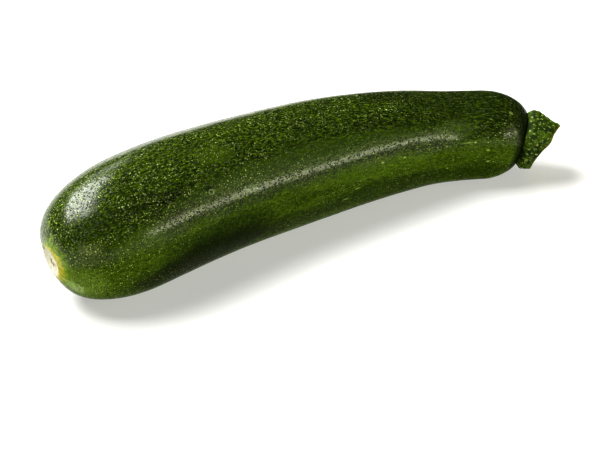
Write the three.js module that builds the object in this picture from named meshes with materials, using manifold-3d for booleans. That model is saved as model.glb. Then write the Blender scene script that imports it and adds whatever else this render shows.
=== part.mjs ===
// A whole courgette (zucchini), lying on its side: the grown fruit with its blossom scar, and the cut
// stub of its stalk. Millimetres, +Z up. The long axis runs along X, with the blossom end at -X and
// the stalk at +X, and the fruit bends towards +Y. It rests on z = 0.
import * as THREE from "three";
import { mergeVertices } from "three/addons/utils/BufferGeometryUtils.js";
import Module from "manifold-3d";

// ---- Driving dimensions, in millimetres. A station is a place along the fruit: -1 is its blossom
// end and 1 its stalk end.
const HALF_LENGTH = 103.5; // of the fruit along X, without the stalk
const BODY_RADII = [
  { station: -1, radius: 23.8 },
  { station: -0.6, radius: 25 },
  { station: -0.2, radius: 24.2 },
  { station: 0.2, radius: 22.8 },
  { station: 0.5, radius: 20.5 },
  { station: 0.75, radius: 18.3 },
  { station: 1, radius: 17.7 },
];

const BOW = 12; // sideways bend of the whole axis, at the middle
const NECK_HOOK = -13.5; // how far the stalk end swings back
const NECK_HOOK_START = 0.6;
const TIP_SWING = 5.3; // how far the blossom end swings on to the other side
const TIP_SWING_START = 0.6;
const TIP_SWING_POWER = 2.5;
const TIP_SAG = 3.9; // how far the axis drops at the blossom end
const TIP_SAG_START = 0.55;
const NECK_NOD = 2; // how far the axis drops at the stalk end
const NECK_NOD_START = 0.87;

const BLOSSOM_CAP = 0.38; // share of the half length that the rounded blossom end takes
const BLOSSOM_FULLNESS = 2.5; // exponents of the rounded end: larger is blunter
const BLOSSOM_SQUARENESS = 3;
const SHOULDER = 0.12; // share of the half length that the rounded shoulder takes
const SHOULDER_SQUARENESS = 3;
const SHOULDER_END = 0.62; // radius of the shoulder's end, as a share of the body's there
const END_DOME = 1.0; // rise of the face under the stalk

const RIBS = 5;
const RIB_PHASE = 8; // degrees from the sideways direction to the first rib's crest
const RIB_DEPTH = 0.02; // share of the radius
const RIB_SHARPNESS = 0.25; // share of the second wave, which narrows the crests

const KEEL_LIFT = 0.35; // how far the underside rises between the three low points it rests on
const KEEL_PITCH = 0.68; // stations from one low point to the next
const KEEL_PHASE = 0.05; // station of the middle low point
const FLAT_DEPTH = 0.5; // skin pressed flat at each low point

const SCAR_RADIUS = 5.2; // corky blossom scar
const SCAR_DISH = 0.9; // how deep it is sunk
const SCAR_RIM = 0.35; // raised lip round it
const SCAR_RIM_RADIUS = 6.5;
const SCAR_RIM_WIDTH = 1.56;
const SCAR_NIPPLE = 0.5; // dried style stub in the middle
const SCAR_NIPPLE_WIDTH = 1.14;
const SCAR_REACH = -0.9; // station up to which the scar shapes the skin

const STALK_GAP = 0.3; // clearance between the stalk's foot and the fruit
const STALK_OFFSET = 0.7; // how far the stalk grows above the fruit's axis
const STALK_FOOT_RADIUS = 11.6;
const STALK_TOP_RADIUS = 9.3;
const STALK_FOOT_HEIGHT = 2.5; // height of the widest place
const STALK_FOOT_TUCK = 0.9; // how far the foot's lower edge draws in
const STALK_TAPER = 6; // height over which the foot narrows
const STALK_LENGTH = 8.5; // on the axis
const STALK_CUT_SLOPE = 0.45; // the cut is longer on the upper side
const STALK_RIDGE = 0.05; // height of its five ridges, as a share of the radius
const STALK_WART = 0.4; // height of the warts
const WARTS_AROUND = 10;
const WART_PITCH = 4.2; // along the stalk
const CUT_RIM = 0.8; // the cut's rim, as a share of the radius
const CUT_DISH = 0.6; // how deep the cut face has dried in
const PITH_SHARE = 0.3; // radius of the pith, as a share
const PITH_FLOOR_SHARE = 0.18;
const PITH_DEPTH = 1.3;

// ---- Mesh steps
const SECTORS = 60;
const BLOSSOM_RINGS = 17;
const BODY_RINGS = 26;
const SHOULDER_RINGS = 8;
const DOME_RINGS = 3;
const STALK_RINGS = 13;
const FOOT_RINGS = 4;
const AXIS_STEP = 1e-4; // stations, for the axis's direction
const MERGE_TOLERANCE = 1e-4;
const SLAB = { side: 400, depth: 10 }; // what is cut away under the fruit

const clamp01 = (x) => Math.min(1, Math.max(0, x));
const radians = THREE.MathUtils.degToRad;
const UP = new THREE.Vector3(0, 0, 1);

// 0 up to a start, and from there a rise to 1 at the fruit's end.
function onset(station, start) {
  return Math.max(0, station - start) / (1 - start);
}

// Slope of the radius at one of the stations above, for a smooth curve through them all.
function radiusSlope(index) {
  const rise = (left) => {
    const { station: start, radius: from } = BODY_RADII[left];
    const { station: stop, radius: to } = BODY_RADII[left + 1];
    return { span: stop - start, slope: (to - from) / (stop - start) };
  };
  const before = rise(Math.max(0, index - 1));
  const after = rise(Math.min(BODY_RADII.length - 2, index));
  return (before.slope * after.span + after.slope * before.span) / (before.span + after.span);
}

// Plain radius of the fruit at a station, before its ends are rounded.
function bodyRadius(station) {
  const last = BODY_RADII.length - 2;
  const after = BODY_RADII.findIndex((place) => place.station > station);
  const left = after < 0 ? last : Math.min(last, Math.max(0, after - 1));
  const { station: start, radius: from } = BODY_RADII[left];
  const { station: stop, radius: to } = BODY_RADII[left + 1];
  const span = stop - start;
  const t = (station - start) / span;
  const startBend = radiusSlope(left) * span - (to - from);
  const stopBend = radiusSlope(left + 1) * span - (to - from);
  return from + (to - from) * t + t * (1 - t) * ((1 - t) * startBend - t * stopBend);
}

// Point of the fruit's axis at a station.
function axisPoint(station) {
  const hook = onset(station, NECK_HOOK_START) ** 2;
  const swing = onset(-station, TIP_SWING_START) ** TIP_SWING_POWER;
  const sag = onset(-station, TIP_SAG_START) ** 2;
  const nod = onset(station, NECK_NOD_START) ** 2;
  const keel = (1 - Math.cos((2 * Math.PI * (station - KEEL_PHASE)) / KEEL_PITCH)) / 2;
  return new THREE.Vector3(
    HALF_LENGTH * station,
    BOW * (1 - station ** 2) + NECK_HOOK * hook + TIP_SWING * swing,
    bodyRadius(station) - FLAT_DEPTH + KEEL_LIFT * keel - TIP_SAG * sag - NECK_NOD * nod,
  );
}

// The frame across the axis at a station: along the axis, sideways, and up.
function crossFrame(station) {
  const along = axisPoint(station + AXIS_STEP).sub(axisPoint(station - AXIS_STEP)).normalize();
  const up = UP.clone().addScaledVector(along, -along.z).normalize();
  return { origin: axisPoint(station), along, side: up.clone().cross(along), up };
}

// Point at a polar place (radius, angle) of a cross frame, raised along the axis.
function place(frame, radius, angle, rise = 0) {
  return frame.origin
    .clone()
    .addScaledVector(frame.side, radius * Math.cos(angle))
    .addScaledVector(frame.up, radius * Math.sin(angle))
    .addScaledVector(frame.along, rise);
}

// The five soft ribs, as a share of the radius.
function ribWave(angle) {
  const wave = RIBS * (angle - radians(RIB_PHASE));
  return Math.cos(wave) + RIB_SHARPNESS * Math.cos(2 * wave);
}

// How far the skin stands out along the axis at a distance from the middle of the blossom scar.
function scarRise(distance) {
  const dish = -SCAR_DISH * Math.exp(-((distance / SCAR_RADIUS) ** 4));
  const rim = SCAR_RIM * Math.exp(-(((distance - SCAR_RIM_RADIUS) / SCAR_RIM_WIDTH) ** 2));
  const nipple = SCAR_NIPPLE * Math.exp(-((distance / SCAR_NIPPLE_WIDTH) ** 2));
  return dish + rim + nipple;
}

// Joins rings of points, each with as many points, into one closed mesh with a point at each end.
function skinOver(first, rings, last) {
  const sectors = rings[0].length;
  const points = [first, ...rings.flat(), last];
  const triangles = [];
  const at = (ring, sector) => 1 + ring * sectors + (sector % sectors);
  for (let sector = 0; sector < sectors; sector += 1) {
    triangles.push(0, at(0, sector + 1), at(0, sector));
    triangles.push(points.length - 1, at(rings.length - 1, sector), at(rings.length - 1, sector + 1));
    for (let ring = 0; ring + 1 < rings.length; ring += 1) {
      triangles.push(at(ring, sector), at(ring, sector + 1), at(ring + 1, sector + 1));
      triangles.push(at(ring, sector), at(ring + 1, sector + 1), at(ring + 1, sector));
    }
  }
  const geometry = new THREE.BufferGeometry().setFromPoints(points);
  geometry.setIndex(triangles);
  return geometry;
}

const sectorAngles = Array.from({ length: SECTORS }, (_, sector) => (2 * Math.PI * sector) / SECTORS);

// The fruit's rings, from the blossom end to the middle of the face under the stalk.
function fruitGeometry() {
  const blossom = crossFrame(-1);
  const rings = [];
  const addRing = (station, share, ribs) => {
    const frame = crossFrame(station);
    const radius = bodyRadius(station) * share;
    const rise = station < SCAR_REACH ? -scarRise(radius) : 0;
    const ribbed = (angle) => radius * (1 + RIB_DEPTH * ribs * ribWave(angle));
    rings.push(sectorAngles.map((angle) => place(frame, ribbed(angle), angle, rise)));
  };

  for (let ring = 1; ring < BLOSSOM_RINGS; ring += 1) {
    const share = Math.sin(((ring / BLOSSOM_RINGS) * Math.PI) / 2);
    const cap = (1 - share ** BLOSSOM_SQUARENESS) ** (1 / BLOSSOM_FULLNESS);
    addRing(-(1 - BLOSSOM_CAP) - BLOSSOM_CAP * cap, share, 1 - cap ** 2);
  }
  for (let ring = 0; ring <= BODY_RINGS; ring += 1) {
    const span = 2 - BLOSSOM_CAP - SHOULDER;
    addRing(-(1 - BLOSSOM_CAP) + (span * ring) / BODY_RINGS, 1, 1);
  }
  for (let ring = 1; ring <= SHOULDER_RINGS; ring += 1) {
    const reach = Math.sin(((ring / SHOULDER_RINGS) * Math.PI) / 2);
    const drop = (1 - SHOULDER_END ** SHOULDER_SQUARENESS) * reach ** 2;
    addRing(1 - SHOULDER * (1 - reach), (1 - drop) ** (1 / SHOULDER_SQUARENESS), 1);
  }

  const end = crossFrame(1);
  const endRadius = bodyRadius(1) * SHOULDER_END;
  for (let ring = 1; ring <= DOME_RINGS; ring += 1) {
    const share = 1 - ring / (DOME_RINGS + 1);
    const radius = endRadius * share;
    const rise = END_DOME * (1 - share ** 2);
    rings.push(sectorAngles.map((angle) => place(end, radius, angle, rise)));
  }
  const tip = place(blossom, 0, 0, -scarRise(0));
  return skinOver(tip, rings, place(end, 0, 0, END_DOME));
}

// Radius of the stalk's side at a height over the fruit's end and an angle.
function stalkRadius(height, angle) {
  const narrowing = Math.exp(-((Math.max(0, height - STALK_FOOT_HEIGHT) / STALK_TAPER) ** 2));
  const tuck = STALK_FOOT_TUCK * (1 - Math.min(1, height / STALK_FOOT_HEIGHT)) ** 2;
  const plain = STALK_TOP_RADIUS + (STALK_FOOT_RADIUS - STALK_TOP_RADIUS) * narrowing - tuck;
  const around = Math.cos(WARTS_AROUND * angle);
  const along = Math.cos((2 * Math.PI * height) / WART_PITCH);
  const wart = STALK_WART * Math.max(0, around * along) * clamp01(height / STALK_FOOT_HEIGHT);
  return plain * (1 + STALK_RIDGE * ribWave(angle)) + wart;
}

// The stalk: a foot that follows the fruit's end, a ridged side, and an oblique cut.
function stalkGeometry() {
  const end = crossFrame(1);
  end.origin.addScaledVector(end.up, STALK_OFFSET);
  const endRadius = bodyRadius(1) * SHOULDER_END;
  const domeRise = (radius, angle) => {
    const distance = Math.hypot(radius * Math.cos(angle), radius * Math.sin(angle) + STALK_OFFSET);
    return END_DOME * (1 - (distance / endRadius) ** 2);
  };
  const rings = [];
  for (let ring = 1; ring <= FOOT_RINGS; ring += 1) {
    const share = ring / FOOT_RINGS;
    rings.push(
      sectorAngles.map((angle) => {
        const radius = stalkRadius(0, angle) * share;
        return place(end, radius, angle, STALK_GAP + domeRise(radius, angle));
      }),
    );
  }
  for (let ring = 1; ring <= STALK_RINGS; ring += 1) {
    const share = ring / STALK_RINGS;
    rings.push(
      sectorAngles.map((angle) => {
        const top = STALK_LENGTH + STALK_CUT_SLOPE * STALK_TOP_RADIUS * Math.sin(angle);
        const height = top * share;
        return place(end, stalkRadius(height, angle), angle, STALK_GAP + height);
      }),
    );
  }
  const cutRings = [
    { share: CUT_RIM, depth: CUT_DISH / 2 },
    { share: (CUT_RIM + PITH_SHARE) / 2, depth: CUT_DISH },
    { share: PITH_SHARE, depth: CUT_DISH },
    { share: PITH_FLOOR_SHARE, depth: PITH_DEPTH },
  ];
  for (const { share, depth } of cutRings) {
    rings.push(
      sectorAngles.map((angle) => {
        const radius = stalkRadius(STALK_LENGTH, angle) * share;
        const height = STALK_LENGTH + STALK_CUT_SLOPE * radius * Math.sin(angle) - depth;
        return place(end, radius, angle, STALK_GAP + height);
      }),
    );
  }
  const middle = place(end, 0, 0, STALK_GAP + STALK_LENGTH - PITH_DEPTH);
  return skinOver(place(end, 0, 0, STALK_GAP + domeRise(0, 0)), rings, middle);
}

// A manifold-3d solid of a closed geometry.
function solidOf(wasm, geometry) {
  const bare = geometry.clone();
  bare.deleteAttribute("normal");
  bare.deleteAttribute("uv");
  const merged = mergeVertices(bare, MERGE_TOLERANCE);
  const vertProperties = new Float32Array(merged.attributes.position.array);
  const triVerts = new Uint32Array(merged.index.array);
  return new wasm.Manifold(new wasm.Mesh({ numProp: 3, vertProperties, triVerts }));
}

// The geometry without what lies under the surface it rests on.
function trimmedAtTable(wasm, geometry) {
  const slab = new THREE.BoxGeometry(SLAB.side, SLAB.side, SLAB.depth);
  slab.translate(0, 0, -SLAB.depth / 2);
  const mesh = solidOf(wasm, geometry).subtract(solidOf(wasm, slab)).getMesh();
  const trimmed = new THREE.BufferGeometry();
  trimmed.setAttribute("position", new THREE.BufferAttribute(mesh.vertProperties, 3));
  trimmed.setIndex(new THREE.BufferAttribute(mesh.triVerts, 1));
  return trimmed;
}

const wasm = await Module();
wasm.setup();

const skin = new THREE.MeshStandardMaterial({ color: "#2f4a12", roughness: 0.35, metalness: 0 });
const stalk = new THREE.MeshStandardMaterial({ color: "#5f7a22", roughness: 0.7, metalness: 0 });

const fruit = new THREE.Mesh(trimmedAtTable(wasm, fruitGeometry()), skin);
fruit.name = "fruit";
const stem = new THREE.Mesh(stalkGeometry(), stalk);
stem.name = "stem";

// The part's origin is the middle of its box, on the surface it rests on.
const courgette = new THREE.Group().add(fruit, stem);
const middle = new THREE.Box3().setFromObject(courgette).getCenter(new THREE.Vector3());
courgette.position.set(-middle.x, -middle.y, 0);

export default courgette;
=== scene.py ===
"""A whole courgette lying on its side, dressed for a studio picture.

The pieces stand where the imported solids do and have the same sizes. Geometry Nodes loft the fruit's
skin round the same axis again, fine enough for its ribs, swellings and blossom scar, and set the
prickles on its stalk.
"""

import logging
import math
from dataclasses import dataclass, field
from enum import Enum
from typing import Any, Iterable, NamedTuple

import bpy
import numpy as np
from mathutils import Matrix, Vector


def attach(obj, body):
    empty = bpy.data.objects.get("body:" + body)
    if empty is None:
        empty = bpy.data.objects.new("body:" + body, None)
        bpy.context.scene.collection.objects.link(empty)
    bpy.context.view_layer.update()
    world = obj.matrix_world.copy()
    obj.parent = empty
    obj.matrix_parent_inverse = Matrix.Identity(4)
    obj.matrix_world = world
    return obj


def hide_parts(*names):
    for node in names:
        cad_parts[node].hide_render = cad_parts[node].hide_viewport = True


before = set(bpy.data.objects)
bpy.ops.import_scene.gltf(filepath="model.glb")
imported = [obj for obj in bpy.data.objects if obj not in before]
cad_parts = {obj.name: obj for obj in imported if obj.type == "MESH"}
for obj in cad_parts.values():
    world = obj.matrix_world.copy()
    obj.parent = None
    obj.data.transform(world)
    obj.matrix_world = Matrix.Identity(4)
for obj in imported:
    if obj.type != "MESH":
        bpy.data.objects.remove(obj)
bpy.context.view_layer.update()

LOG = logging.getLogger("courgette")
BODY = "root"
MM = 0.001
WHITE = (1.0, 1.0, 1.0, 1.0)
SCUFF = "#a4b468"  # pale green of the small scuffs

Socket = bpy.types.NodeSocket
Thing = bpy.types.Object
Tree = bpy.types.NodeTree

# Blender's names for the nodes that come up again and again, and settings that several share. A map
# range takes its value, the range that it is in and the range that it goes to. Noise takes its place,
# a fourth coordinate where it has one, its scale, detail and roughness.
MATH = "ShaderNodeMath"
VECTOR_MATH = "ShaderNodeVectorMath"
MAP_RANGE = "ShaderNodeMapRange"
MIX = "ShaderNodeMix"
NOISE = "ShaderNodeTexNoise"
ATTRIBUTE = "ShaderNodeAttribute"
VORONOI = "ShaderNodeTexVoronoi"
BUMP = "ShaderNodeBump"
NAMED_ATTRIBUTE = "GeometryNodeInputNamedAttribute"
SET_POSITION = "GeometryNodeSetPosition"
COLOURS = {"data_type": "RGBA"}
SMOOTH = {"interpolation_type": "SMOOTHSTEP"}
CLAMPED = {"operation": "MULTIPLY_ADD", "use_clamp": True}


class Node(Enum):
    """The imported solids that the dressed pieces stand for."""

    FRUIT = "fruit"
    STEM = "stem"


class Slot(Enum):
    """The record's material slots."""

    FRUIT_SKIN = "fruit_skin"
    STALK_SKIN = "stalk_skin"


def linear(hex_colour: str) -> tuple[float, float, float, float]:
    """Turns six sRGB hex digits after a "#" into the linear colour that shaders take."""
    parts = [int(hex_colour[start : start + 2], 16) / 255 for start in (1, 3, 5)]
    red, green, blue = (p / 12.92 if p <= 0.04045 else ((p + 0.055) / 1.055) ** 2.4 for p in parts)
    return red, green, blue, 1.0


def add(
    tree: Tree,
    kind: str,
    settings: str | dict[str, Any] | None = None,
    inputs: dict[str, Any] | tuple[Any, ...] = (),
) -> Socket | None:
    """Adds a node with its settings and links.

    Args:
        tree: the tree that it goes in.
        kind: Blender's name for this kind of node.
        settings: the node's own properties, or its operation alone.
        inputs: what the inputs in use take, links or values, in their order or by name.

    Returns:
        The node's first output in use, or None where it has none.
    """
    node = tree.nodes.new(kind)
    if isinstance(settings, str):
        settings = {"operation": settings}
    for name, value in (settings or {}).items():
        setattr(node, name, value)
    if isinstance(inputs, tuple):
        inputs = dict(enumerate(inputs))
    for key, value in inputs.items():
        shown = [socket for socket in node.inputs if socket.enabled]
        socket = shown[key] if isinstance(key, int) else next(s for s in shown if s.name == key)
        if isinstance(value, Socket):
            tree.links.new(value, socket)
        else:
            socket.default_value = value
    return next((socket for socket in node.outputs if socket.enabled), None)


def layered(tree: Tree, colour: Socket, *layers: tuple[Socket, str]) -> Socket:
    """Returns a colour with others laid over it, each as far as its share goes."""
    for share, tint in layers:
        colour = add(tree, MIX, COLOURS, (share, colour, linear(tint)))
    return colour


def jostled(tree: Tree, noise_at: Socket, size: float, reach: float, places: Socket) -> Socket:
    """Returns places moved by noise of a size, along each axis by 0 up to a reach."""
    noise = add(tree, NOISE, {}, (noise_at, 1 / size, 1.0)).node.outputs["Color"]
    return add(tree, VECTOR_MATH, "MULTIPLY_ADD", (noise, (reach, reach, reach), places))


def cell_specks(
    tree: Tree, places: Socket, spacing: float, largest: float, edge: tuple[float, float], dullest: float
) -> tuple[Socket, Socket]:
    """Adds specks of all sizes, one in each cell.

    Args:
        tree: the material's nodes.
        places: where each point is.
        spacing: the cells' size, in the places' unit.
        largest: the largest speck's size, as a share of the spacing.
        edge: where a speck starts and is full, from its own edge inwards.
        dullest: how strong the dullest is against the strongest.

    Returns:
        How much of a speck there is at each place, and how far inside its edge that is.
    """
    cells = add(tree, VORONOI, {}, {"Vector": places, "Scale": 1 / spacing}).node.outputs
    own = add(tree, "ShaderNodeSeparateColor", {}, (cells["Color"],)).node.outputs
    size = add(tree, MATH, "MULTIPLY", (own["Red"], largest))
    inside = add(tree, MATH, "SUBTRACT", (size, cells["Distance"]))
    there = add(tree, MAP_RANGE, SMOOTH, (inside, *edge))
    strength = add(tree, MAP_RANGE, {}, (own["Green"], 0.0, 1.0, dullest))
    return add(tree, MATH, "MULTIPLY", (there, strength)), inside


def geometry_tree(name: str, sockets: dict[str, tuple[str, ...]]) -> tuple[Tree, dict[str, Socket]]:
    """Starts a Geometry Nodes tree.

    Args:
        name: the tree's name.
        sockets: the names of its inputs of each kind.

    Returns:
        The tree, and its inputs by name.
    """
    tree = bpy.data.node_groups.new(name, "GeometryNodeTree")
    tree.interface.new_socket("Geometry", in_out="OUTPUT", socket_type="NodeSocketGeometry")
    for kind, labels in sockets.items():
        for label in labels:
            tree.interface.new_socket(label, in_out="INPUT", socket_type=f"NodeSocket{kind}")
    return tree, {socket.name: socket for socket in tree.nodes.new("NodeGroupInput").outputs}


def mesh_object(name: str, points: np.ndarray, faces: Iterable[Iterable[int]] = ()) -> Thing:
    """Makes an object of points and faces.

    Args:
        name: the object's name.
        points: its points, in metres.
        faces: the point numbers round each face.

    Returns:
        The object, linked into the scene.
    """
    mesh = bpy.data.meshes.new(name)
    mesh.from_pydata([tuple(point) for point in points], [], [tuple(face) for face in faces])
    thing = bpy.data.objects.new(name, mesh)
    bpy.context.scene.collection.objects.link(thing)
    return thing


def store(thing: Thing, name: str, values: Iterable[Any]) -> None:
    """Keeps a number or a vector at each of a mesh's points, as a named attribute."""
    numbers = np.array(values, dtype=np.float32)
    kind, key = ("FLOAT", "value") if numbers.ndim == 1 else ("FLOAT_VECTOR", "vector")
    thing.data.attributes.new(name, kind, "POINT").data.foreach_set(key, numbers.ravel())


def baked(source: Thing, tree: Tree, sizes: dict[str, Any]) -> None:
    """Runs a Geometry Nodes tree on an object and keeps the result as its plain mesh.

    Args:
        source: the object, whose mesh is replaced.
        tree: the tree to run.
        sizes: a value for each of the tree's named inputs.
    """
    modifier = source.modifiers.new(tree.name, "NODES")
    modifier.node_group = tree
    sockets = {item.name: item.identifier for item in tree.interface.items_tree if item.in_out == "INPUT"}
    for name, value in sizes.items():
        modifier[sockets[name]] = value
    source.update_tag()
    bpy.context.view_layer.update()
    evaluated = source.evaluated_get(bpy.context.evaluated_depsgraph_get())
    mesh = bpy.data.meshes.new_from_object(evaluated)
    source.modifiers.remove(modifier)
    rough = source.data
    source.data = mesh
    mesh.name = source.name
    bpy.data.meshes.remove(rough)


# Finishes


@dataclass(frozen=True)
class SkinMark:
    """One mark on the skin: where it is, how large it is and how pale or dark.

    Its turn is in degrees round the fruit from the top, towards the side that bends in. Its length
    and width are half of the whole.
    """

    along_mm: float
    turn: float
    length_mm: float
    width_mm: float
    colour: str
    strength: float
    ring: bool = False


@dataclass(frozen=True)
class ScarBand:
    """One band of the blossom scar, in millimetres from its own middle.

    Its middle is given to the side that bends out, and upwards.
    """

    outer: float
    inner: float
    rayed: float
    uneven: float
    colours: tuple[str, str]
    strength: float
    middle: tuple[float, float]


@dataclass(frozen=True)
class SkinPlaces:
    """Links to where each point is on the straightened skin, in millimetres.

    In skin and grain, X runs along the fruit, Y to the side that bends out and Z upwards, and the
    grain is drawn out towards the stalk. In flat, the skin is unrolled from the top.
    """

    skin: Socket
    grain: Socket
    flat: Socket
    along: Socket
    around: Socket


@dataclass(frozen=True)
class Finish:
    """A material. Each kind gives its name and its surface."""

    name: str

    def surface(self, tree: Tree) -> dict[str, Any]:
        """Returns what the shader's inputs take, by name, from nodes that it adds to the tree."""
        raise NotImplementedError

    def material(self) -> bpy.types.Material:
        """Builds the material."""
        material = bpy.data.materials.new(self.name)
        material.use_nodes = True
        tree = material.node_tree
        tree.nodes.clear()
        shader = add(tree, "ShaderNodeBsdfPrincipled", {}, self.surface(tree))
        add(tree, "ShaderNodeOutputMaterial", {}, (shader,))
        return material


@dataclass(frozen=True)
class CourgetteSkin(Finish):
    """Waxy courgette skin: a thin clear cuticle over dark green, with pale lenticels.

    The side that faced the sun is dark and thickly speckled. The side that lay towards the ground
    is a lighter green with few specks; that lighter green is partly the skin's own and partly
    painted light on the lower side. The lenticels are corky pores, paler and duller than the wax
    between them, so they show as light specks in the dark and as dark pits in a highlight.
    They draw out lengthwise towards the stalk, where the fruit grew longest.
    """

    name: str = "waxy_courgette_skin"
    sun_greens: tuple[str, str] = ("#141e01", "#222e01")
    # The ground side's lighter greens are partly the skin's own colour and partly painted light.
    ground_greens: tuple[str, str] = ("#2c3b07", "#42540b")
    # Deep green of the neck's upper side, also the painted shade in the crease under the stalk.
    neck_deep_and_crease_shade: str = "#121c02"
    grain_light: str = "#5f761c"
    speck: str = "#a8b86e"
    pore: str = "#111a01"
    cloud_mm: float = 9.0
    fibre_mm: float = 0.6  # drawn twice as coarse as the real skin's grain
    crowd_mm: float = 7.0  # size of the patches where specks crowd
    # The lenticels' spacing and the largest one's size. Real ones are a little smaller than these.
    speck_layers_mm: tuple[tuple[float, float], ...] = ((0.88, 0.32), (0.58, 0.34))
    speck_ragged_mm: float = 0.5
    pit_moat: float = 0.16
    # How much of each there is at most: the pores' dark, the grain, the neck's dark, the crease's painted
    # shade.
    pore_share: float = 0.72
    grain_share: float = 0.75
    neck_share: float = 0.5
    crease_shade_share: float = 0.85
    relief_share: float = 0.4  # of the fine relief against the pits
    relief_mm: tuple[float, float] = (0.7, 0.12)  # size and depth of the fine relief
    girth_mm: float = 23.0
    sun_turn: tuple[float, float] = (88.0, 70.0)  # degrees from the top where the two sides meet
    sun_wander_mm: tuple[float, float] = (14.0, 8.0)  # size and reach of the ragged line between them
    neck_along_mm: tuple[float, float] = (38.0, 80.0)
    neck_around_mm: tuple[float, float] = (26.0, 12.0)
    blossom_along_mm: tuple[float, float] = (-45.0, -85.0)
    end_mm: float = 60.0  # beyond it, what is near the axis belongs to an end
    scar_ragged_mm: float = 1.3
    scar_mottle_mm: float = 0.8
    crease_shade_radius_mm: tuple[float, float] = (15.0, 12.5)
    roughness: float = 0.18
    pit_roughness: float = 0.4
    specular: float = 0.36
    ground_specular: float = 0.03  # the bloom that stayed on dulls the side towards the ground
    ior: float = 1.45  # plant wax
    # Tones laid under the specks. Some are painted light and shade, said below; the rest are darker and
    # lighter stretches.
    tones_and_painted_light: tuple[SkinMark, ...] = (
        # Painted shade: darker along the underside, and along the neck's top edge.
        SkinMark(-50, 120, 42, 10, "#0c1500", 0.85),
        SkinMark(36, 118, 60, 6, "#1c2a02", 0.55),
        SkinMark(47, 2, 17, 6, "#121b02", 0.6),
        SkinMark(-77, 41, 9, 4, "#121b02", 0.4),
        SkinMark(-40, 31, 9, 4, "#46580c", 0.45),
        SkinMark(-48, 93, 26, 4, "#1a2602", 0.5),
        SkinMark(3, 27, 9, 4.5, "#141d01", 0.4),
        SkinMark(-96, 98, 16, 19, "#4a5e10", 0.3),
        # Painted reflection of the pale table on the blossom end's lower edge.
        SkinMark(-100, 112, 7, 14, "#72883a", 0.45),
        SkinMark(32, 86, 38, 4.5, "#58701c", 0.4),
        SkinMark(92, 82, 22, 6, "#566c1c", 0.4),
        # Painted sheen: the band above the long rib, and a hazy patch at its stalk end.
        SkinMark(4, 58, 72, 5, "#3c5018", 0.5),
        SkinMark(75, 58, 12, 6, "#566834", 0.3),
        SkinMark(-92, 42, 11, 6, "#141f01", 0.4),
        SkinMark(-66, 50, 7, 2.4, "#0c1400", 0.6),
        # Painted sheen at the blossom end of the long rib.
        SkinMark(-80, 73, 10, 5, "#566c20", 0.4),
        # Painted reflection of the pale table on the blossom end's lower edge.
        SkinMark(-101.3, 123, 3, 6, "#9aac72", 0.65),
        # Painted shade under the neck.
        SkinMark(88, 117, 15, 8, "#1c2a02", 0.35),
    )
    marks: tuple[SkinMark, ...] = (
        SkinMark(98.2, 29, 0.7, 1.2, "#94a460", 0.45),
        SkinMark(82, 74, 3, 0.35, "#a4b45c", 0.45),
        SkinMark(85.5, 74, 0.6, 0.5, "#b4c468", 0.6),
        SkinMark(-49.6, 56.6, 2, 1.1, "#060a00", 0.75),
        SkinMark(-102.1, 10, 0.9, 1.8, "#8a9a28", 0.4),
        SkinMark(-100.3, -6, 1.2, 1.8, "#7a8c24", 0.3),
        SkinMark(-49, 60, 1.15, 0.95, "#8c9c70", 0.5, ring=True),
        # Painted highlight: a brighter spot on the long rib's streak.
        SkinMark(-31.6, 69.6, 5.2, 1.6, "#8c9a78", 0.25),
        SkinMark(70, 77, 0.8, 0.5, SCUFF, 0.6),
        SkinMark(63.5, 77, 0.7, 0.4, SCUFF, 0.5),
        SkinMark(46.4, 82, 0.8, 0.45, SCUFF, 0.6),
        SkinMark(35, 82, 0.9, 0.4, SCUFF, 0.6),
        SkinMark(91.4, 101.5, 0.7, 0.6, SCUFF, 0.6),
        SkinMark(91, 85, 0.8, 0.6, SCUFF, 0.6),
        SkinMark(72.5, 108, 0.8, 0.5, SCUFF, 0.5),
        SkinMark(18.4, 114.7, 1.8, 0.35, SCUFF, 0.5),
        SkinMark(23.4, 104.4, 1.6, 0.35, SCUFF, 0.4),
    )
    bare: tuple[SkinMark, ...] = (
        SkinMark(25, 50, 42, 5.5, "", 0.65),
        SkinMark(84, 14, 32, 22, "", 0.65),
        SkinMark(-91, 43, 10, 7, "", 0.6),
        SkinMark(-42, 110, 45, 10, "", 0.6),
    )
    # The green and the yellow border that ray out, the cork, and the dried style in its middle.
    scar_bands: tuple[ScarBand, ...] = (
        ScarBand(11.0, 7.2, 12.0, 2.0, ("#7c941c", "#54720e"), 0.65, (-1.8, 0.3)),
        ScarBand(7.5, 6.0, 6.0, 2.5, ("#b0aa40", "#92862a"), 0.85, (-1.8, 0.3)),
        ScarBand(5.9, 4.9, 1.0, 1.6, ("#cac8be", "#b4b09e"), 0.95, (1.4, -1.2)),
        ScarBand(1.9, 0.9, 0.0, 1.0, ("#6c6434", "#847c4c"), 0.9, (1.4, -1.2)),
    )
    cork_band: int = 2  # which of them is the cork

    def surface(self, tree: Tree) -> dict[str, Any]:
        """Adds the colour and the wax over it, which read the skin's own attributes.

        Args:
            tree: the material's nodes.

        Returns:
            What the shader's inputs take, by name.
        """
        at = self.places(tree)
        sunny = self.sunny_side(tree, at)
        # The ground, with its tones and the painted light and shade among them.
        colour = self.marked(tree, at, self.ground(tree, at, sunny), self.tones_and_painted_light)
        specks, pits = self.specks(tree, at, sunny)
        dark = add(tree, MATH, "MULTIPLY", (pits, self.pore_share))
        colour = layered(tree, colour, (dark, self.pore), (specks, self.speck))
        # Marks, then painted shade in the crease under the stalk.
        colour = self.crease_shade(tree, at, self.marked(tree, at, colour, self.marks))
        colour, cork = self.blossom_scar(tree, at, colour)
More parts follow.
